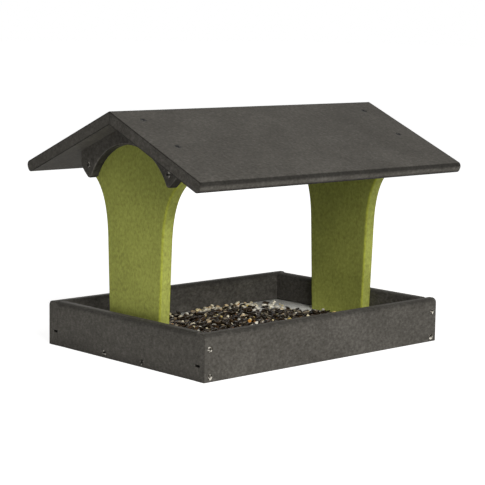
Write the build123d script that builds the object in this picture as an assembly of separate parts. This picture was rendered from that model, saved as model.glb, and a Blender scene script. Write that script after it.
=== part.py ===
from build123d import *
import math
import os

# Fly-through bird feeder: an open tray, two uprights, gable arches and a two-panel roof.
# Millimetres. X runs along the ridge, Y to the back, Z up from the surface it stands on.

# Tray
tray_length = 457.0
tray_width = 336.0
tray_height = 64.0
board = 19.0
tray_round = 7.0
edge_ease = 0.8

# Floor and its groove
groove_height = 19.0
groove_width = 3.2
groove_depth = 9.5
floor_thickness = 2.0
floor_end_gap = 1.0
floor_notch_gap = 0.6

# Roof
ridge_height = 344.0
roof_overhang = 25.5
roof_slope = 204.0
roof_board = 16.0
roof_pitch = 23.5
eave_round = 6.5

# Uprights: half widths at the foot, the waist and the flared top, then the curve of the flare
foot_half = 52.0
waist_half = 59.0
flare_half = 103.0
flare_rise = 105.2
flare_lead = 90.5
flare_turn = 25.2
cheek = 12.0
upright_round = 3.0

# Gable arches
arch_board = 12.7
arch_depth = 28.5
arch_tip_drop = 23.0
arch_tip_width = 6.4
arch_tip_round = 5.0
arch_round = 2.5

# Countersunk screws
screw_head_radius = 4.1
screw_head_height = 2.6
screw_radius = 2.0
screw_point = 4.0
screw_gap = 0.1
screw_cover = 6.0
recess_length = 4.4
recess_width = 0.9
recess_depth = 1.5
low_screw_height = 7.0
high_screw_drop = 20.0
foot_screw_edge = 11.0
arch_screw_edge = 18.0
arch_screw_drop = 5.0
roof_screw_bite = 16.0
roof_screw_high = 28.0
roof_screw_edge = 6.7

# Seed lying on the floor
seed_depth = 6.0
seed_edge_gap = 3.0
seed_bank_angle = 60.0
seed_corner_round = 20.0
bare_corner = 130.0
seed_length = 11.0
seed_width = 5.8
seed_thickness = 3.8
seed_spacing = 15.5
seed_clear = 4.0

# How closely a place has to match when an edge or corner is looked up
match = 0.01

# Sizes that follow from the ones above
sides = (-1, 1)
half_length = tray_length / 2
half_width = tray_width / 2
end_inner = half_length - board
side_inner = half_width - board
upright_inner = end_inner - board
arch_outer = end_inner + arch_board
roof_length = tray_length + 2 * roof_overhang
pitch = math.radians(roof_pitch)
soffit_peak = ridge_height - roof_board / math.cos(pitch)
floor_top = groove_height + floor_thickness
end_ease = 0.9 * edge_ease


def soffit(y):
    """Height of the roof's underside at a distance y from the ridge line."""
    return soffit_peak - abs(y) * math.tan(pitch)


flare_height = soffit(flare_half) - cheek
waist_height = flare_height - flare_rise
arch_crown = soffit_peak - arch_depth
arch_tip_height = flare_height - arch_tip_drop

# A screw stops short of the far face of the second board that it goes into
tray_screw_length = 2 * board - screw_cover
arch_screw_length = arch_board + board - screw_cover
roof_screw_length = roof_board + roof_screw_bite


def on_roof(x, y_side, along):
    """A point on the top face of a roof panel, a distance along the slope from the ridge."""
    return Vector(x, y_side * along * math.cos(pitch), ridge_height - along * math.sin(pitch))


def upright_half_width(z):
    """Half width of the tapered lower part of an upright."""
    return foot_half + (waist_half - foot_half) * z / waist_height


# Screws


def turned(length, gap):
    """A screw standing head up at the origin or, with a gap, the hole that it goes into."""
    body = screw_radius + gap
    section = Polyline(
        (0, gap),
        (screw_head_radius + gap, gap),
        (body, -screw_head_height),
        (body, screw_point - length),
        (0, -length - gap),
        close=True,
    )
    return revolve(Plane.XZ * make_face(section), Axis.Z)


def screw(length):
    slot = Box(recess_length, recess_width, 2 * recess_depth)
    return turned(length, 0) - slot - Rot(0, 0, 90) * slot


def place(position, outward):
    """Turn a head-up screw so that its head faces outward at the position."""
    return Plane(origin=position, z_dir=outward).location


def drilled(piece, places, length):
    hole = turned(length, screw_gap)
    for spot in places:
        piece = piece - spot * hole
    return piece


def tray_screw_places(x_side, y_side):
    x = x_side * (half_length - board / 2)
    y = y_side * half_width
    heights = (low_screw_height, tray_height - high_screw_drop)
    return [place((x, y, z), (0, y_side, 0)) for z in heights]


def foot_screw_places(x_side):
    x = x_side * half_length
    spread = foot_half - foot_screw_edge
    return [place((x, side * spread, low_screw_height), (x_side, 0, 0)) for side in sides]


def arch_screw_places(x_side):
    x = x_side * arch_outer
    spread = flare_half - arch_screw_edge
    height = flare_height - arch_screw_drop
    return [place((x, side * spread, height), (x_side, 0, 0)) for side in sides]


def roof_screw_places(x_side, y_side):
    x = x_side * (end_inner + arch_board / 2)
    outward = (0, y_side * math.sin(pitch), math.cos(pitch))
    roof_screw_low = (flare_half - roof_screw_edge) / math.cos(pitch)
    return [place(on_roof(x, y_side, along), outward) for along in (roof_screw_high, roof_screw_low)]


def at_both_ends(places, y_side):
    """The places of one kind of screw at the left and at the right end."""
    return [spot for x_side in sides for spot in places(x_side, y_side)]


def at_both_faces(places, x_side):
    """The places of one kind of screw at the front and at the back."""
    return [spot for y_side in sides for spot in places(x_side, y_side)]


def screw_group(places, length):
    return Compound(children=[spot * screw(length) for spot in places])


# Tray


def board_profile():
    """Cross section of a tray board: upright rectangle with both top corners rounded."""
    outline = Pos(0, tray_height / 2) * Rectangle(board, tray_height)
    top = outline.vertices().sort_by(Axis.Y)[-2:]
    outline = fillet(top, tray_round)
    bottom = outline.vertices().sort_by(Axis.Y)[:2]
    return fillet(bottom, edge_ease)


def long_board(y_side):
    section = Plane.YZ * board_profile()
    blank = Pos(-half_length, y_side * (half_width - board / 2), 0) * extrude(section, tray_length)
    groove = Box(tray_length, 2 * groove_depth, groove_width)
    blank = blank - Pos(0, y_side * side_inner, groove_height + groove_width / 2) * groove
    return drilled(blank, at_both_ends(tray_screw_places, y_side), tray_screw_length)


def end_board(x_side):
    span = 2 * side_inner
    section = Plane(origin=(0, side_inner, 0), x_dir=(1, 0, 0), z_dir=(0, -1, 0)) * board_profile()
    blank = Pos(x_side * (half_length - board / 2), 0, 0) * extrude(section, span)
    rims = [edge for y_side in sides for edge in at(blank.edges(), Axis.Y, y_side * side_inner)]
    blank = fillet(rims, end_ease)
    groove = Box(2 * groove_depth, span, groove_width)
    blank = blank - Pos(x_side * end_inner, 0, groove_height + groove_width / 2) * groove
    corners = at_both_faces(tray_screw_places, x_side)
    return drilled(blank, corners + foot_screw_places(x_side), tray_screw_length)


def floor_screen():
    reach = groove_depth - floor_end_gap
    sheet = Box(2 * (end_inner + reach), 2 * (side_inner + reach), floor_thickness)
    sheet = Pos(0, 0, groove_height + floor_thickness / 2) * sheet
    notch_half = upright_half_width(floor_top) + floor_notch_gap
    notch_length = board + reach + floor_notch_gap
    notch = Box(notch_length, 2 * notch_half, 2 * board)
    for x_side in sides:
        middle = upright_inner - floor_notch_gap + notch_length / 2
        sheet = sheet - Pos(x_side * middle, 0, groove_height) * notch
    return sheet


# Uprights and gable arches


def at(shapes, axis, value):
    """The vertices or edges whose middle is at a value along an axis."""
    return shapes.filter_by_position(axis, value - match, value + match)


def gable_outline():
    """Outline of an upright, foot to gable, seen along the ridge."""
    lean = (waist_half - foot_half) / waist_height
    waist = (waist_half, waist_height)
    shoulder = (flare_half, flare_height)
    gable_end = (flare_half, soffit(flare_half))
    side = Line((foot_half, 0), waist)
    flare = Bezier(
        waist,
        (waist_half + lean * flare_lead, waist_height + flare_lead),
        (flare_half, flare_height - flare_turn),
        shoulder,
    )
    half = Curve() + [side, flare, Line(shoulder, gable_end), Line(gable_end, (0, soffit_peak))]
    foot = Line((-foot_half, 0), (foot_half, 0))
    return make_face(half + mirror(half, Plane.YZ) + foot)


def rounded_rim(piece, x, radius):
    """Round the rim of the upright face at x, but not where it meets the roof or the ground."""
    rim = []
    for edge in at(piece.edges(), Axis.X, x):
        middle = edge @ 0.5
        under_roof = abs(middle.Z - soffit(middle.Y)) < match
        on_ground = abs(middle.Z) < match
        if not under_roof and not on_ground:
            rim.append(edge)
    return fillet(rim, radius)


def upright(x_side):
    blank = Pos(upright_inner, 0, 0) * extrude(Plane.YZ * gable_outline(), board)
    blank = rounded_rim(blank, upright_inner, upright_round)
    blank = rounded_rim(blank, end_inner, upright_round)
    if x_side < 0:
        blank = mirror(blank, Plane.YZ)
    blank = drilled(blank, foot_screw_places(x_side), tray_screw_length)
    return drilled(blank, arch_screw_places(x_side), arch_screw_length)


def gable_arch(x_side):
    """Trim under the roof, cut from the upright's own outline by a round arch."""
    gable = gable_outline()
    tip_level = Line((0, arch_tip_height), (flare_half, arch_tip_height)) & gable
    half_span = tip_level.length - arch_tip_width
    rise = arch_crown - arch_tip_height
    radius = (half_span**2 + rise**2) / (2 * rise)
    opening = Pos(0, arch_crown - radius) * Circle(radius)
    below = Pos(0, arch_tip_height / 2) * Rectangle(2 * flare_half, arch_tip_height)
    outline = gable - opening - below
    tips = at(outline.vertices(), Axis.Y, arch_tip_height)
    outline = fillet(tips, arch_tip_round)
    blank = Pos(end_inner, 0, 0) * extrude(Plane.YZ * outline, arch_board)
    blank = rounded_rim(blank, arch_outer, arch_round)
    if x_side < 0:
        blank = mirror(blank, Plane.YZ)
    blank = drilled(blank, at_both_faces(roof_screw_places, x_side), roof_screw_length)
    return drilled(blank, arch_screw_places(x_side), arch_screw_length)


# Roof


def roof_panel(y_side):
    """Flat board with a plumb cut at the ridge, rounded along its eave."""
    plumb_run = roof_board * math.tan(pitch)
    ridge = [(plumb_run, -roof_board), (0, 0)]
    outline = make_face(Polyline(*ridge, (roof_slope, 0), (roof_slope, -roof_board), close=True))
    eave = outline.vertices().sort_by(Axis.X)[-2:]
    outline = fillet(eave, eave_round)
    down_slope = (0, y_side * math.cos(pitch), -math.sin(pitch))
    along_ridge = (y_side, 0, 0)
    start = (-y_side * roof_length / 2, 0, ridge_height)
    panel = extrude(Plane(origin=start, x_dir=down_slope, z_dir=along_ridge) * outline, roof_length)
    return drilled(panel, at_both_ends(roof_screw_places, y_side), roof_screw_length)


# Seed


def half_seed():
    """The upper half of a whole seed lying along X: two round flanks that meet in a ridge."""
    reach, side, rise = seed_length / 2, seed_width / 2, seed_thickness / 2
    shift = (reach**2 - side**2) / (2 * side)
    sink = (reach**2 - rise**2) / (2 * rise)
    ball = Sphere(math.hypot(shift, sink + rise))
    lens = Pos(0, shift, -sink) * ball & Pos(0, -shift, -sink) * ball
    return split(lens, Plane.XY, keep=Keep.TOP)


def seed_places(far_x, far_y):
    """Places spread evenly over the bed's top, each turned its own way and clear of the banks."""
    step_x, step_y, turn = 0.7548776662, 0.5698402910, 137.508
    bank_run = seed_depth * math.tan(math.radians(seed_bank_angle))
    margin = bank_run + seed_length / 2 + seed_clear
    places = []
    for number in range(round(4 * far_x * far_y / seed_spacing**2)):
        x = far_x * (2 * ((0.5 + number * step_x) % 1) - 1)
        y = far_y * (2 * ((0.5 + number * step_y) % 1) - 1)
        from_bare = (far_x - x + far_y - y - bare_corner) / math.sqrt(2)
        if min(far_x - abs(x), far_y - abs(y), from_bare) > margin:
            places.append(Pos(x, y, seed_depth) * Rot(0, 0, number * turn % 180))
    return places


def seed_bed():
    """Low bed of loose seed with sloping banks and whole seeds on its top, bare at the back right corner."""
    far_x = upright_inner - seed_edge_gap
    far_y = side_inner - seed_edge_gap
    bare = [(far_x, far_y - bare_corner), (far_x - bare_corner, far_y)]
    outline = make_face(Polyline((-far_x, -far_y), (far_x, -far_y), *bare, (-far_x, far_y), close=True))
    outline = fillet(outline.vertices(), seed_corner_round)
    bed = extrude(outline, seed_depth, taper=seed_bank_angle)
    whole = half_seed()
    bed = bed.fuse(*[spot * whole for spot in seed_places(far_x, far_y)])
    return Pos(0, 0, floor_top) * bed


# Assembly

nodes = {"floor_screen": floor_screen(), "seed_bed": seed_bed()}
ends = dict(zip(("left", "right"), sides))
faces = dict(zip(("front", "back"), sides))

for face, y_side in faces.items():
    nodes[face + "_tray_board"] = long_board(y_side)
    nodes[face + "_roof_panel"] = roof_panel(y_side)
    nodes[face + "_roof_screws"] = screw_group(at_both_ends(roof_screw_places, y_side), roof_screw_length)
    for end, x_side in ends.items():
        corner = face + "_" + end
        nodes[corner + "_tray_screws"] = screw_group(tray_screw_places(x_side, y_side), tray_screw_length)

for end, x_side in ends.items():
    nodes[end + "_end_board"] = end_board(x_side)
    nodes[end + "_upright"] = upright(x_side)
    nodes[end + "_gable_arch"] = gable_arch(x_side)
    nodes[end + "_foot_screws"] = screw_group(foot_screw_places(x_side), tray_screw_length)
    nodes[end + "_arch_screws"] = screw_group(arch_screw_places(x_side), arch_screw_length)

os.makedirs("parts", exist_ok=True)
for name, piece in nodes.items():
    piece.label = name
    export_step(piece, "parts/" + name + ".step")
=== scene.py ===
import math
import random

import bmesh
import bpy
import numpy
from mathutils import Euler, Matrix, Vector, noise


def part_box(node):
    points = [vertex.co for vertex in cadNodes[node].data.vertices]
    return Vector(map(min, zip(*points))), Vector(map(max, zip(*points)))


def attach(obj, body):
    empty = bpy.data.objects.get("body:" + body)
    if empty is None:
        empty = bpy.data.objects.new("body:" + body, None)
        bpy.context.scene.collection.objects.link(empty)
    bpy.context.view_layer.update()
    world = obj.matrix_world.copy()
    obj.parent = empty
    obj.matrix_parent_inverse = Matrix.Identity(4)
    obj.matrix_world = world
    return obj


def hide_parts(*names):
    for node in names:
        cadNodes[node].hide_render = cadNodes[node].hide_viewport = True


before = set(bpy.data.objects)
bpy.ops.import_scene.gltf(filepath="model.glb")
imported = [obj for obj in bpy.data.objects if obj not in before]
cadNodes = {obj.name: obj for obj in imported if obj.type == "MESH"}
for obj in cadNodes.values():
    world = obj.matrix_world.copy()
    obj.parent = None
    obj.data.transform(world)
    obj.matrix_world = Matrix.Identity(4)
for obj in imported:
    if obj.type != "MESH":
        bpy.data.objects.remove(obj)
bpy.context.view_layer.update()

scene = bpy.context.scene
scene.view_settings.view_transform = "Standard"
print("frame loaded:", len(cadNodes), "nodes")


# short ways to add shader nodes
def newMaterial(name):
    material = bpy.data.materials.new(name)
    material.use_nodes = True
    material.node_tree.nodes.clear()
    return material, material.node_tree


def addNode(tree, kind, inputs=None, **settings):
    node = tree.nodes.new(kind)
    for key, value in settings.items():
        setattr(node, key, value)
    for key, value in (inputs or {}).items():
        socket = node.inputs[key]
        if isinstance(value, bpy.types.NodeSocket):
            tree.links.new(value, socket)
        else:
            socket.default_value = value
    return node


def colour(rgb):
    return (rgb[0], rgb[1], rgb[2], 1.0)


def objectCoord(tree):
    return addNode(tree, "ShaderNodeTexCoord").outputs["Object"]


def noiseNode(tree, vector, scale, detail, roughness=0.5):
    return addNode(tree, "ShaderNodeTexNoise", {
        "Vector": vector, "Scale": scale, "Detail": detail, "Roughness": roughness}).outputs["Fac"]


def mathNode(tree, operation, *values):
    return addNode(tree, "ShaderNodeMath", dict(enumerate(values)), operation=operation).outputs[0]


def mixValues(tree, share, first, second):
    return addNode(tree, "ShaderNodeMix", {0: share, 2: first, 3: second}).outputs[0]


def mixTints(tree, share, first, second, blend="MIX"):
    return addNode(tree, "ShaderNodeMix", {
        0: share, 6: first, 7: second}, data_type="RGBA", blend_type=blend).outputs[2]


def mapBand(tree, value, band, target=(0.0, 1.0)):
    return addNode(tree, "ShaderNodeMapRange", {
        "Value": value, "From Min": band[0], "From Max": band[1],
        "To Min": target[0], "To Max": target[1]}).outputs[0]


def rampNode(tree, factor, stops):
    node = addNode(tree, "ShaderNodeValToRGB", {"Fac": factor})
    ramp = node.color_ramp
    while len(ramp.elements) < len(stops):
        ramp.elements.new(0.5)
    for element, (place, rgb) in zip(ramp.elements, stops):
        element.position = place
        element.color = colour(rgb)
    return node.outputs[0]


def bumpNode(tree, height, look, **normal):
    return addNode(tree, "ShaderNodeBump", {
        "Strength": look["bumpStrength"], "Distance": look["bumpDepth"], "Height": height,
        **normal}).outputs[0]


def finishMaterial(tree, shader):
    addNode(tree, "ShaderNodeOutputMaterial", {"Surface": shader})


def finishSurface(tree, inputs):
    finishMaterial(tree, addNode(tree, "ShaderNodeBsdfPrincipled", inputs).outputs[0])


# recycled plastic lumber
charcoalBoard = {
    "dark": (0.056, 0.052, 0.046),
    "middle": (0.088, 0.083, 0.074),
    "light": (0.132, 0.125, 0.113),
    "roughness": (0.56, 0.78),
    "specular": 0.06,
}
limeBoard = {
    "dark": (0.250, 0.270, 0.064),
    "middle": (0.345, 0.372, 0.086),
    "light": (0.440, 0.478, 0.112),
    "roughness": (0.5, 0.72),
    "specular": 0.08,
}
boardGrain = {
    "streakScale": 420.0,            # per metre, across the board
    "streakStretch": 0.55,           # along the board
    "streakDetail": (3.0, 0.62),     # detail and roughness of the noise
    "speckleScale": 190.0,
    "speckleDetail": (2.0, 0.55),
    "speckleShare": 0.5,
    "cloudScale": 16.0,
    "cloudDetail": 2.0,
    "cloudShare": 0.22,
    "toneStops": (0.37, 0.5, 0.63),  # where dark, middle and light lie in the noise
    "roughBand": (0.3, 0.7),
    "bumpStrength": 0.6,
    "bumpDepth": 0.00022,
}
# the edge tints are painted shade on the rounded edges, partly the smoother routed finish
boardEdge = {                        # how far an edge is eased, and the tints that multiply its colour
    "tray": {"reach": 0.0012, "routedShade": (0.68, 0.68, 0.68)},
    "roof": {"reach": 0.003, "routedShade": (0.31, 0.31, 0.31)},
    # on the arch the edge tint is painted shade under the arch, and the lighter tint a painted highlight
    # along its arris
    "arch": {"reach": 0.0009, "routedShade": (0.42, 0.42, 0.4), "arrisHighlight": (1.45, 1.45, 1.45)},
    "upright": {"reach": 0.0012, "routedShade": (1.0, 1.0, 0.62)},
}
edgeTurn = {                         # how squarely a face looks along "across", where each tint holds
    "side": 0.0,
    "arris": (0.08, 0.3, 0.6),
    "routedShade": (0.5, 0.93),
    "skin": 0.99,
    "samples": 8,
}
roofPitch = math.radians(23.5)


def edgeStops(edge):
    skin, routedShade = (1.0, 1.0, 1.0), edge["routedShade"]
    routedShadeFrom, routedShadeTo = edgeTurn["routedShade"]
    stops = [(edgeTurn["side"], skin), (routedShadeFrom, routedShade), (routedShadeTo, routedShade), (edgeTurn["skin"], skin)]
    # a painted highlight along the arris, before the painted shade of the edge
    if "arrisHighlight" in edge:
        stops[1:2] = zip(edgeTurn["arris"], (skin, edge["arrisHighlight"], routedShade))
    return stops


def polyBoard(name, look, grainAxis, edgeName, across=(0.0, 0.0, 1.0)):
    material, tree = newMaterial(name)
    grain, edge = boardGrain, boardEdge[edgeName]
    coord = objectCoord(tree)
    stretch = [1.0, 1.0, 1.0]
    stretch[grainAxis] = grain["streakStretch"]
    along = addNode(tree, "ShaderNodeMapping", {"Vector": coord, "Scale": stretch}).outputs[0]
    streak = noiseNode(tree, along, grain["streakScale"], *grain["streakDetail"])
    speckle = noiseNode(tree, coord, grain["speckleScale"], *grain["speckleDetail"])
    cloud = noiseNode(tree, coord, grain["cloudScale"], grain["cloudDetail"])
    fine = mixValues(tree, grain["speckleShare"], streak, speckle)
    tone = mixValues(tree, grain["cloudShare"], fine, cloud)
    body = rampNode(tree, tone, list(zip(
        grain["toneStops"], (look["dark"], look["middle"], look["light"]))))

    # the rounded edges are multiplied darker: painted shade along the roundings, partly the smoother finish
    # that the router leaves
    eased = addNode(tree, "ShaderNodeBevel", {
        "Radius": edge["reach"]}, samples=edgeTurn["samples"]).outputs[0]
    facing = addNode(tree, "ShaderNodeVectorMath", {
        0: eased, 1: across}, operation="DOT_PRODUCT").outputs["Value"]
    smooth = rampNode(tree, mathNode(tree, "ABSOLUTE", facing), edgeStops(edge))
    finishSurface(tree, {
        "Base Color": mixTints(tree, 1.0, body, smooth, "MULTIPLY"),
        "Roughness": mapBand(tree, speckle, grain["roughBand"], look["roughness"]),
        "Normal": bumpNode(tree, fine, grain, Normal=eased),
        "Specular IOR Level": look["specular"]})
    return material


trayAlongX = polyBoard("trayAlongX", charcoalBoard, 0, "tray")
trayAlongY = polyBoard("trayAlongY", charcoalBoard, 1, "tray")
archAlongY = polyBoard("archAlongY", charcoalBoard, 1, "arch")
frontRoof = polyBoard(
    "frontRoof", charcoalBoard, 0, "roof", (0.0, -math.sin(roofPitch), math.cos(roofPitch)))
backRoof = polyBoard(
    "backRoof", charcoalBoard, 0, "roof", (0.0, math.sin(roofPitch), math.cos(roofPitch)))
limeAlongZ = polyBoard("limeAlongZ", limeBoard, 2, "upright", (1.0, 0.0, 0.0))


# screws, from bright at the tray corners to nearly black on the roof
# the noise step on each head is where painted dark reflection gives way to painted glint, "roughness" holds
# that of the glinting and of the dark parts
brightScrew = {
    "pale": (0.62, 0.59, 0.52), "dull": (0.030, 0.026, 0.020), "dustAndGlint": (0.47, 0.6),
    "metallic": 1.0, "roughness": (0.22, 0.5)}
dimScrew = {
    "pale": (0.20, 0.188, 0.165), "dull": (0.012, 0.011, 0.009), "dustAndGlint": (0.5, 0.62),
    "metallic": 1.0, "roughness": (0.26, 0.5)}
darkScrew = {
    "pale": (0.09, 0.085, 0.075), "dull": (0.002, 0.002, 0.0018), "dustAndGlint": (0.56, 0.66),
    "metallic": 0.1, "roughness": (0.45, 0.65)}
screwFinish = {
    "dustAndGlintScale": 330.0,
    "dustAndGlintDetail": 3.0,
    "scratchScale": 2600.0,
    "scratchDetail": 2.0,
    "roughBand": (0.35, 0.65),
    "bumpStrength": 0.3,
    "bumpDepth": 0.00006,
    "specular": 0.1,
}


def screwSteel(name, look):
    material, tree = newMaterial(name)
    finish = screwFinish
    coord = objectCoord(tree)
    dustAndGlint = noiseNode(tree, coord, finish["dustAndGlintScale"], finish["dustAndGlintDetail"])
    scratch = noiseNode(tree, coord, finish["scratchScale"], finish["scratchDetail"])
    glintRough, dullRough = look["roughness"]
    finishSurface(tree, {
        # the base colour paints dark reflections and pale glints on each head
        "Base Color": rampNode(tree, dustAndGlint, list(zip(look["dustAndGlint"], (look["dull"], look["pale"])))),
        "Metallic": look["metallic"],
        "Roughness": mapBand(tree, dustAndGlint, finish["roughBand"], (dullRough, glintRough)),
        "Normal": bumpNode(tree, scratch, finish),
        "Specular IOR Level": finish["specular"]})
    return material


brightSteel = screwSteel("brightSteel", brightScrew)
dimSteel = screwSteel("dimSteel", dimScrew)
darkSteel = screwSteel("darkSteel", darkScrew)

# woven floor screen
screenWire = {
    "wire": (0.86, 0.86, 0.84),
    "gap": (0.42, 0.415, 0.40),
    "dust": (0.66, 0.64, 0.58),
    "pitch": 0.0016,
    "weaveBand": (0.35, 0.62),
    "dustAndGlintScale": 60.0,
    "dustAndGlintDetail": 4.0,
    "dustBand": (0.45, 0.75),
    "dustMost": 0.6,
    "bumpStrength": 0.7,
    "bumpDepth": 0.0004,
    "metallic": 0.1,
    "roughness": 0.55,
}
waveTurn = 20.0    # radians in one unit of a Wave texture of scale 1


def wovenScreen(name, look):
    material, tree = newMaterial(name)
    coord = objectCoord(tree)
    turns = 2 * math.pi / look["pitch"] / waveTurn
    waves = [addNode(tree, "ShaderNodeTexWave", {
        "Vector": coord, "Scale": turns}, bands_direction=axis).outputs["Fac"] for axis in ("X", "Y")]
    weave = mathNode(tree, "MAXIMUM", *waves)
    dustAndGlint = noiseNode(tree, coord, look["dustAndGlintScale"], look["dustAndGlintDetail"])
    wire = rampNode(tree, weave, list(zip(look["weaveBand"], (look["gap"], look["wire"]))))
    dusty = mapBand(tree, dustAndGlint, look["dustBand"], (0.0, look["dustMost"]))
    finishSurface(tree, {
        "Base Color": mixTints(tree, dusty, wire, colour(look["dust"])),
        "Metallic": look["metallic"],
        "Roughness": look["roughness"],
        "Normal": bumpNode(tree, weave, look)})
    return material


floorWeave = wovenScreen("floorWeave", screenWire)

nodeFinish = {              # by the ending of a node's name, the first that fits
    "roof_screws": darkSteel,
    "arch_screws": dimSteel,
    "foot_screws": dimSteel,
    "_screws": brightSteel,
    "_upright": limeAlongZ,
    "_gable_arch": archAlongY,
    "_end_board": trayAlongY,
    "_tray_board": trayAlongX,
    "front_roof_panel": frontRoof,
    "back_roof_panel": backRoof,
    "floor_screen": floorWeave,
}
for nodeName, node in cadNodes.items():
    fitting = [material for ending, material in nodeFinish.items() if nodeName.endswith(ending)]
    if fitting:
        node.data.materials.clear()
        node.data.materials.append(fitting[0])
print("boards, screws and floor dressed")


# loose seed, over the seed bed of the solid model
seedBed = {
    "random": 14,
    "floorTop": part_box("floor_screen")[1].z,
    "halfLength": 0.184,          # how far the middle of a seed may lie from the centre
    "halfWidth": 0.1428,
    "depth": 0.0058,
    "wallDepth": 0.0036,          # thinner along the tray sides
    "wallReach": 0.03,
    "swell": 0.0014,              # gentle heaps
    "swellNoise": (0.0, 24.0),    # layer of the noise, and its scale
    "thinFrom": 0.09,             # thinner towards the right upright
    "thinTo": 0.165,
    "thinLeft": 0.45,
    "backLeft": 0.1,              # share of the depth left along the back board
    "backReach": 0.06,
    "bareSum": 0.190,             # bare floor towards the back right corner, past this x + y
    "bareSide": 0.100,            # and past this x
    "bareStrip": (0.0, 0.118),    # and along the back board, past this x and this y
    "bareFade": 0.014,
    "bareWander": 0.012,
    "bareNoise": (0.3, 34.0),
}
seedKinds = {                     # a tint's last number is how striped the seed is
    "sunflowerSeeds": {
        "count": 1750, "size": (0.0112, 0.0059, 0.0038), "shape": "husk",
        "tints": [(0.017, 0.0100, 0.0035, 0.0), (0.022, 0.0135, 0.005, 0.0), (0.018, 0.012, 0.006, 0.0),
                  (0.046, 0.026, 0.010, 0.0), (0.021, 0.014, 0.006, 0.8)]},
    "safflowerSeeds": {
        "count": 380, "size": (0.0084, 0.0052, 0.0040), "shape": "husk",
        "tints": [(0.92, 0.85, 0.66, 0.0), (0.98, 0.95, 0.84, 0.0), (0.72, 0.56, 0.35, 0.0)]},
    "milletSeeds": {
        "count": 560, "size": (0.0034, 0.0031, 0.0028), "shape": "bead",
        "tints": [(0.92, 0.78, 0.44, 0.0), (0.95, 0.87, 0.60, 0.0), (0.45, 0.22, 0.09, 0.0)]},
    "crackedCorn": {
        "count": 170, "size": (0.0070, 0.0054, 0.0040), "shape": "chip",
        "tints": [(0.72, 0.36, 0.08, 0.0), (0.86, 0.68, 0.24, 0.0), (0.90, 0.80, 0.48, 0.0),
                  (0.92, 0.84, 0.58, 0.0)]},
}
huskLook = {
    "stripe": (0.42, 0.36, 0.27),
    "stripeBand": (0.2, 0.44),    # from the middle of the seed to its rim
    "blotchScale": 520.0,
    "blotchDetail": 3.0,
    "blotchStops": [(0.3, (0.74, 0.71, 0.66)), (0.66, (1.0, 1.0, 1.0))],
    "fibreScale": 2400.0,
    "fibreDetail": 2.0,
    "roughBand": (0.3, 0.7),
    "roughness": (0.36, 0.6),
    "bumpStrength": 0.5,
    "bumpDepth": 0.00012,
    "specular": 0.15,
}


def seedHusk(name, look):
    material, tree = newMaterial(name)
    tint = addNode(tree, "ShaderNodeAttribute", attribute_name="seedTint").outputs
    local = addNode(tree, "ShaderNodeAttribute", attribute_name="seedLocal").outputs["Vector"]
    across = addNode(tree, "ShaderNodeSeparateXYZ", {0: local}).outputs["Y"]
    rim = mapBand(tree, mathNode(tree, "ABSOLUTE", across), look["stripeBand"])
    stripe = mathNode(tree, "MULTIPLY", rim, tint["Alpha"])
    striped = mixTints(tree, stripe, tint["Color"], colour(look["stripe"]))
    coord = objectCoord(tree)
    blotch = noiseNode(tree, coord, look["blotchScale"], look["blotchDetail"])
    fibre = noiseNode(tree, coord, look["fibreScale"], look["fibreDetail"])
    shade = rampNode(tree, blotch, look["blotchStops"])
    finishSurface(tree, {
        "Base Color": mixTints(tree, 1.0, striped, shade, "MULTIPLY"),
        "Roughness": mapBand(tree, blotch, look["roughBand"], look["roughness"]),
        "Normal": bumpNode(tree, fibre, look),
        "Specular IOR Level": look["specular"]})
    return material


def limited(value, low=0.0, high=1.0):
    return max(low, min(high, value))


def uneven(x, y, layer, scale):
    return noise.noise(Vector((x, y, layer)) * scale)


def wantedDepth(x, y):
    bed = seedBed
    wall = min(bed["halfLength"] - abs(x), bed["halfWidth"] - abs(y))
    rise = limited(wall / bed["wallReach"])
    depth = bed["wallDepth"] + (bed["depth"] - bed["wallDepth"]) * rise
    depth += bed["swell"] * uneven(x, y, *bed["swellNoise"])
    thin = limited((x - bed["thinFrom"]) / (bed["thinTo"] - bed["thinFrom"]))
    depth *= 1.0 - (1.0 - bed["thinLeft"]) * thin
    depth *= bed["backLeft"] + (1.0 - bed["backLeft"]) * limited((bed["halfWidth"] - y) / bed["backReach"])
    corner = max((bed["bareSum"] - x - y) / math.sqrt(2), bed["bareSide"] - x)
    strip = max(bed["bareStrip"][0] - x, bed["bareStrip"][1] - y)
    inside = min(corner, strip) + bed["bareWander"] * uneven(x, y, *bed["bareNoise"])
    return depth * limited(inside / bed["bareFade"])


def newPiece(name, bm, material):
    mesh = bpy.data.meshes.new(name)
    bm.to_mesh(mesh)
    bm.free()
    mesh.materials.append(material)
    piece = bpy.data.objects.new(name, mesh)
    scene.collection.objects.link(piece)
    return piece


# a dark sheet under the seeds: painted shade of the seeds lying low in the heap, with broken husks and dust
# in it
seedLitterShade = {
    "drop": 0.0042,               # how far it lies below the top of the seed
    "crumb": 0.0006,
    "crumbNoise": (0.7, 160.0),
    "gridCells": (104, 80),
    "lift": 0.0001,               # clear of the floor
    "skin": 0.0002,               # least thickness
    "cellScale": 260.0,
    # the dark tints are painted shade among the seeds, the palest stop husk bits
    "tints": [(0.0, (0.014, 0.010, 0.005)), (0.62, (0.028, 0.020, 0.011)), (0.80, (0.062, 0.04, 0.021)),
              (0.92, (0.30, 0.24, 0.15))],
    "dustScale": 900.0,
    "dustDetail": 3.0,
    "roughBand": (0.3, 0.7),
    "roughness": (0.6, 0.85),
    "bumpStrength": 0.8,
    "bumpDepth": 0.0012,
    "specular": 0.15,
}


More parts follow.
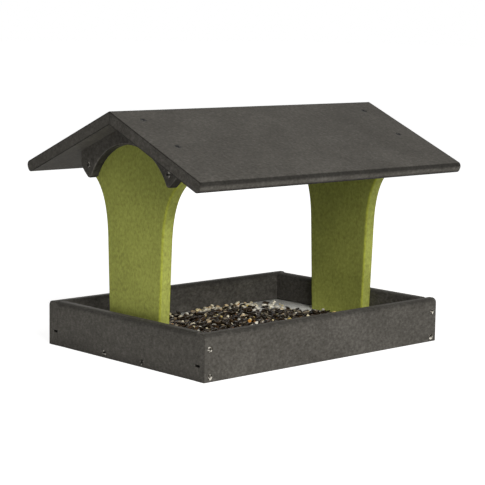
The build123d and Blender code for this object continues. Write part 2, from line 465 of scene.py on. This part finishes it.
def huskLitterShade(name, look):
    material, tree = newMaterial(name)
    coord = objectCoord(tree)
    cells = addNode(tree, "ShaderNodeTexVoronoi", {"Vector": coord, "Scale": look["cellScale"]}).outputs
    pick = addNode(tree, "ShaderNodeSeparateColor", {0: cells["Color"]}).outputs[0]
    dust = noiseNode(tree, coord, look["dustScale"], look["dustDetail"])
    height = mathNode(tree, "SUBTRACT", dust, cells["Distance"])
    finishSurface(tree, {
        "Base Color": rampNode(tree, pick, look["tints"]),
        "Roughness": mapBand(tree, dust, look["roughBand"], look["roughness"]),
        "Normal": bumpNode(tree, height, look),
        "Specular IOR Level": look["specular"]})
    return material


def litterHeight(x, y):
    crumb = seedLitterShade["crumb"] * uneven(x, y, *seedLitterShade["crumbNoise"])
    return max(0.0, wantedDepth(x, y) - seedLitterShade["drop"] + crumb)


def makeLitter(bed, look):
    bm = bmesh.new()
    columns, rows = look["gridCells"]
    bmesh.ops.create_grid(bm, x_segments=columns, y_segments=rows, size=1.0)
    bmesh.ops.scale(bm, vec=(bed["halfLength"], bed["halfWidth"], 1.0), verts=bm.verts)
    bmesh.ops.translate(bm, vec=(0.0, 0.0, bed["floorTop"] + look["lift"]), verts=bm.verts)
    bare = [face for face in bm.faces if max(litterHeight(v.co.x, v.co.y) for v in face.verts) <= 0.0]
    bmesh.ops.delete(bm, geom=bare, context="FACES")
    raised = bmesh.ops.extrude_face_region(bm, geom=bm.faces[:], use_keep_orig=True)["geom"]
    for vert in raised:
        if isinstance(vert, bmesh.types.BMVert):
            vert.co.z += look["skin"] + litterHeight(vert.co.x, vert.co.y)
    bmesh.ops.recalc_face_normals(bm, faces=bm.faces)
    for face in bm.faces:
        face.smooth = True
    return newPiece("seedLitterShade", bm, huskLitterShade("huskLitterShade", look))


# one seed of each shape, a unit long
seedForm = {
    "husk": (8, 5),               # segments and rings
    "bead": (6, 4),
    "taper": 0.6,                 # a husk is blunt at one end, pointed at the other
    "taperFrom": 0.1,
    "taperPower": 1.5,
}


def seedShape(shape):
    bm = bmesh.new()
    if shape == "chip":
        bmesh.ops.create_icosphere(bm, subdivisions=1, radius=0.5)
    else:
        segments, rings = seedForm[shape]
        bmesh.ops.create_uvsphere(bm, u_segments=segments, v_segments=rings, radius=0.5)
    bmesh.ops.rotate(bm, verts=bm.verts, cent=(0, 0, 0), matrix=Matrix.Rotation(math.pi / 2, 3, "Y"))
    localLayer = bm.verts.layers.float_vector.new("seedLocal")
    bm.verts.layers.float_color.new("seedTint")
    for vert in bm.verts:
        vert[localLayer] = vert.co
        if shape == "husk":
            towards = limited(vert.co.x + seedForm["taperFrom"])
            narrow = 1.0 - seedForm["taper"] * towards ** seedForm["taperPower"]
            vert.co.y *= narrow
            vert.co.z *= narrow
    for face in bm.faces:
        face.smooth = shape != "chip"
    return bm


# the bed's own whole seeds, spread as in the solid
wholeSeeds = {
    "farCorner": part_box("seed_bed")[1],
    "spacing": 0.0155,
    "margin": 0.019892,
    "bareCut": 0.13,
    "steps": (0.7548776662, 0.5698402910),
    "turn": 137.508,              # degrees from one to the next
}


def wholeSeedPlaces(whole):
    farX, farY = whole["farCorner"].x, whole["farCorner"].y
    stepX, stepY = whole["steps"]
    places = []
    for number in range(round(4 * farX * farY / whole["spacing"] ** 2)):
        x = farX * (2 * ((0.5 + number * stepX) % 1) - 1)
        y = farY * (2 * ((0.5 + number * stepY) % 1) - 1)
        fromBare = (farX - x + farY - y - whole["bareCut"]) / math.sqrt(2)
        if min(farX - abs(x), farY - abs(y), fromBare) > whole["margin"]:
            places.append((x, y, math.radians(number * whole["turn"] % 180)))
    return places


seedLie = {
    "cell": 0.001,                # grid that the seeds are stacked on
    "border": 0.007,              # of the grid, past the middles of the seeds
    "grow": (0.86, 1.12),
    "vary": (0.93, 1.07),         # each side by itself
    "restShare": 70,              # percent of what is under a seed that it rests above
    "tipReach": 0.7,              # where the slope under a seed is taken, from its middle
    "tipMost": 0.4,
    "tipSpread": 0.09,
    "rollSpread": 0.16,
    "lift": 0.0002,
    "bright": (0.8, 1.15),
    "leastDepth": 0.001,
    "tries": 14,
    "underShare": 0.75,           # of the seeds go in before the whole ones
    "topGap": 0.0024,             # left for the whole seeds and what lies among them
}
straySeeds = {                    # a few on the bare floor, most along the back board
    "count": 58,
    "weights": (3, 9, 5, 2),      # of the kinds, in their order
    "sideEvery": 3,               # one in three lies by the right upright
    "backAlong": (0.02, 0.175),
    "backDeep": (0.110, seedBed["halfWidth"]),
    "sideAlong": (0.1, seedBed["halfLength"]),
    "sideDeep": (0.05, 0.12),
}
paleRow = {                       # pale seeds swept against the back board, one seed high
    "count": 44,
    "cornEvery": (9, 4),          # one in nine is corn, from the fifth
    "along": (0.010, 0.165, 0.060),
    "deep": (0.119, 0.1428),
    "tries": 9,
}


def stackSeeds(bed, lie):
    rng = random.Random(bed["random"])
    cell = lie["cell"]
    columns = int(2 * (bed["halfLength"] + lie["border"]) / cell)
    rows = int(2 * (bed["halfWidth"] + lie["border"]) / cell)
    across = (numpy.arange(columns) + 0.5 - columns / 2) * cell
    deep = (numpy.arange(rows) + 0.5 - rows / 2) * cell
    ground = numpy.array([[litterHeight(x, y) for x in across] for y in deep])
    queue = [name for name, kind in seedKinds.items() for _ in range(kind["count"])]
    rng.shuffle(queue)
    strays = rng.choices(list(seedKinds), weights=straySeeds["weights"], k=straySeeds["count"])
    placed = {name: [] for name in seedKinds}

    def heightAt(x, y):
        column = int(limited(x / cell + columns / 2, 0, columns - 1))
        row = int(limited(y / cell + rows / 2, 0, rows - 1))
        return ground[row, column]

    def settle(name, x, y, yaw=None):
        kind = seedKinds[name]
        grow = rng.uniform(*lie["grow"])
        length, width, thick = (side * grow * rng.uniform(*lie["vary"]) for side in kind["size"])
        if yaw is None:
            yaw = rng.uniform(0.0, 2 * math.pi)
        reach = length / 2
        c0, c1 = numpy.searchsorted(across, (x - reach, x + reach))
        r0, r1 = numpy.searchsorted(deep, (y - reach, y + reach))
        dx = across[None, c0:c1] - x
        dy = deep[r0:r1, None] - y
        along = (dx * math.cos(yaw) + dy * math.sin(yaw)) / reach
        aside = (dy * math.cos(yaw) - dx * math.sin(yaw)) / (width / 2)
        spread = along ** 2 + aside ** 2
        under = spread < 1.0
        patch = ground[r0:r1, c0:c1]
        if not under.any():
            return
        rest = float(numpy.percentile(patch[under], lie["restShare"])) + thick / 2
        endX = math.cos(yaw) * reach * lie["tipReach"]
        endY = math.sin(yaw) * reach * lie["tipReach"]
        fore, aft = heightAt(x + endX, y + endY), heightAt(x - endX, y - endY)
        slope = math.atan2(aft - fore, 2 * reach * lie["tipReach"])
        tip = limited(slope, -lie["tipMost"], lie["tipMost"]) + rng.gauss(0.0, lie["tipSpread"])
        roll = rng.gauss(0.0, lie["rollSpread"])
        top = rest + thick / 2 * numpy.sqrt(numpy.clip(1.0 - spread, 0.0, 1.0))
        patch[under] = numpy.maximum(patch[under], top[under])
        turn = Euler((roll, tip, yaw), "XYZ").to_matrix().to_4x4()
        size = Matrix.Diagonal((length, width, thick, 1.0))
        spot = Matrix.Translation((x, y, bed["floorTop"] + rest + lie["lift"]))
        tint = rng.choice(kind["tints"])
        bright = rng.uniform(*lie["bright"])
        placed[name].append((spot @ turn @ size, [part * bright for part in tint[:3]] + [tint[3]]))

    def scatter(names, gap):
        for name in names:
            for _ in range(lie["tries"]):
                x = rng.uniform(-bed["halfLength"], bed["halfLength"])
                y = rng.uniform(-bed["halfWidth"], bed["halfWidth"])
                wanted = wantedDepth(x, y)
                if wanted > lie["leastDepth"] and heightAt(x, y) < wanted - gap:
                    settle(name, x, y)
                    break

    under = int(len(queue) * lie["underShare"])
    scatter(queue[:under], lie["topGap"])
    for x, y, yaw in wholeSeedPlaces(wholeSeeds):
        settle("sunflowerSeeds", x, y, yaw)
    scatter(queue[under:], lie["topGap"] / 2)
    for number, name in enumerate(strays):
        part = "back" if number % straySeeds["sideEvery"] else "side"
        settle(name, rng.uniform(*straySeeds[part + "Along"]), rng.uniform(*straySeeds[part + "Deep"]))
    cornEvery, cornFirst = paleRow["cornEvery"]
    for number in range(paleRow["count"]):
        name = "crackedCorn" if number % cornEvery == cornFirst else "safflowerSeeds"
        spots = [(rng.triangular(*paleRow["along"]), rng.uniform(*paleRow["deep"]))
                 for _ in range(paleRow["tries"])]
        settle(name, *min(spots, key=lambda spot: heightAt(*spot)))
    return placed


def makeSeeds(bed):
    husk = seedHusk("seedHusk", huskLook)
    pieces = [makeLitter(bed, seedLitterShade)]
    for name, spots in stackSeeds(bed, seedLie).items():
        shape = seedShape(seedKinds[name]["shape"])
        heap = bmesh.new()
        scratch = bpy.data.meshes.new("scratch")
        for matrix, tint in spots:
            one = shape.copy()
            tintLayer = one.verts.layers.float_color["seedTint"]
            for vert in one.verts:
                vert[tintLayer] = tint
            one.transform(matrix)
            one.to_mesh(scratch)
            one.free()
            heap.from_mesh(scratch)
        shape.free()
        bpy.data.meshes.remove(scratch)
        print("  ", name, len(spots), "laid")
        pieces.append(newPiece(name, heap, husk))
    for piece in pieces:
        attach(piece, "root")
        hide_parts("seed_bed")


makeSeeds(seedBed)
print("seed laid in the tray")


# studio floor, lamps and camera
studio = {
    "worldTint": (1.0, 0.99, 0.97),
    "worldStrength": 0.02,
    "floorSize": 40.0,
    "floorWhite": 0.85,
    "shadeWhite": 0.5,        # how strongly the seen floor takes light and shadow
    "glow": (0.88, 1.0),      # its own white, near the feeder and far off
    "glowReach": (0.45, 1.3),
    "lampTint": (1.0, 0.985, 0.955),
    "lamps": {                # place, what it faces, width and height in metres, watts
        "keyLight": ((-0.8, -2.0, 0.8), (0.0, 0.0, 0.14), (1.0, 0.8), 17.0),
        "highKey": ((-0.8, -2.0, 1.5), (0.0, 0.0, 0.10), (1.0, 0.8), 22.0),
        "frontFill": ((0.3, -2.0, 1.3), (0.0, 0.0, 0.12), (1.0, 0.6), 9.5),
        "rightFill": ((1.3, -1.7, 0.7), (0.0, 0.0, 0.14), (0.8, 0.6), 3.6),
        "leftFill": ((-1.7, 0.0, 1.8), (0.0, 0.0, 0.14), (1.8, 1.4), 3.7),
        "backFill": ((0.7, 1.9, 1.3), (0.0, 0.0, 0.10), (1.6, 1.0), 11.0),
        "floorCard": ((-0.36, 0.0, 0.002), (-0.36, 0.0, 1.0), (0.24, 0.5), 0.17),
    },
}


def seenRays(tree):
    path = addNode(tree, "ShaderNodeLightPath").outputs
    first = mathNode(tree, "MAXIMUM", path["Is Camera Ray"], path["Is Glossy Ray"])
    return mathNode(tree, "MAXIMUM", first, path["Is Transmission Ray"])


def makeWorld(look):
    world = bpy.data.worlds.new("studioWorld")
    world.use_nodes = True
    tree = world.node_tree
    tree.nodes.clear()
    soft = addNode(tree, "ShaderNodeBackground", {
        "Color": colour(look["worldTint"]), "Strength": look["worldStrength"]}).outputs[0]
    white = addNode(tree, "ShaderNodeBackground", {
        "Color": (1.0, 1.0, 1.0, 1.0), "Strength": 1.0}).outputs[0]
    both = addNode(tree, "ShaderNodeMixShader", {0: seenRays(tree), 1: soft, 2: white}).outputs[0]
    addNode(tree, "ShaderNodeOutputWorld", {"Surface": both})
    scene.world = world


def makeFloor(look):
    material, tree = newMaterial("paleFloor")
    diffuse, shade = (addNode(tree, "ShaderNodeBsdfDiffuse", {
        "Color": colour((look[key],) * 3)}).outputs[0] for key in ("floorWhite", "shadeWhite"))
    away = addNode(tree, "ShaderNodeVectorMath", {
        0: objectCoord(tree)}, operation="LENGTH").outputs["Value"]
    white = mapBand(tree, away, look["glowReach"], look["glow"])
    glow = addNode(tree, "ShaderNodeEmission", {"Strength": white}).outputs[0]
    seen = addNode(tree, "ShaderNodeAddShader", {0: shade, 1: glow}).outputs[0]
    top = addNode(tree, "ShaderNodeMixShader", {0: seenRays(tree), 1: diffuse, 2: seen}).outputs[0]
    behind = addNode(tree, "ShaderNodeNewGeometry").outputs["Backfacing"]
    clear = addNode(tree, "ShaderNodeBsdfTransparent").outputs[0]
    finishMaterial(tree, addNode(tree, "ShaderNodeMixShader", {0: behind, 1: top, 2: clear}).outputs[0])
    bm = bmesh.new()
    bmesh.ops.create_grid(bm, x_segments=2, y_segments=2, size=look["floorSize"] / 2)
    newPiece("studioFloor", bm, material)


def makeLamps(look):
    for name, (place, aim, size, watts) in look["lamps"].items():
        lamp = bpy.data.lights.new(name, "AREA")
        lamp.shape = "RECTANGLE"
        lamp.size, lamp.size_y = size
        lamp.energy = watts
        lamp.color = look["lampTint"]
        holder = bpy.data.objects.new(name, lamp)
        holder.location = place
        holder.rotation_euler = (Vector(aim) - Vector(place)).to_track_quat("-Z", "Y").to_euler()
        holder.visible_camera = False
        scene.collection.objects.link(holder)


photoView = {
    "azimuth": -43.0655,      # degrees
    "elevation": 7.8217,
    "roll": 0.8628,
    "distance": 2.39934,      # metres
    "target": (-0.007556, 0.0, 0.147586),
    "focal": 1658.62,         # pixels of the square photograph
    "frame": 485.0,
    "sensor": 36.0,
}


def makeCamera(look):
    azimuth, elevation, roll = (math.radians(look[key]) for key in ("azimuth", "elevation", "roll"))
    back = Vector((math.sin(azimuth) * math.cos(elevation),
                   -math.cos(azimuth) * math.cos(elevation), math.sin(elevation)))
    level = Vector((math.cos(azimuth), math.sin(azimuth), 0.0))
    up = back.cross(level)
    right = level * math.cos(roll) + up * math.sin(roll)
    up = up * math.cos(roll) - level * math.sin(roll)
    turn = Matrix((right, up, back)).transposed()
    data = bpy.data.cameras.new("photoCamera")
    data.sensor_width = look["sensor"]
    data.lens = look["focal"] * look["sensor"] / look["frame"]
    camera = bpy.data.objects.new("photoCamera", data)
    place = Vector(look["target"]) + back * look["distance"]
    camera.matrix_world = Matrix.Translation(place) @ turn.to_4x4()
    scene.collection.objects.link(camera)
    scene.camera = camera


makeWorld(studio)
makeFloor(studio)
makeLamps(studio)
makeCamera(photoView)
print("stage, light and camera set")
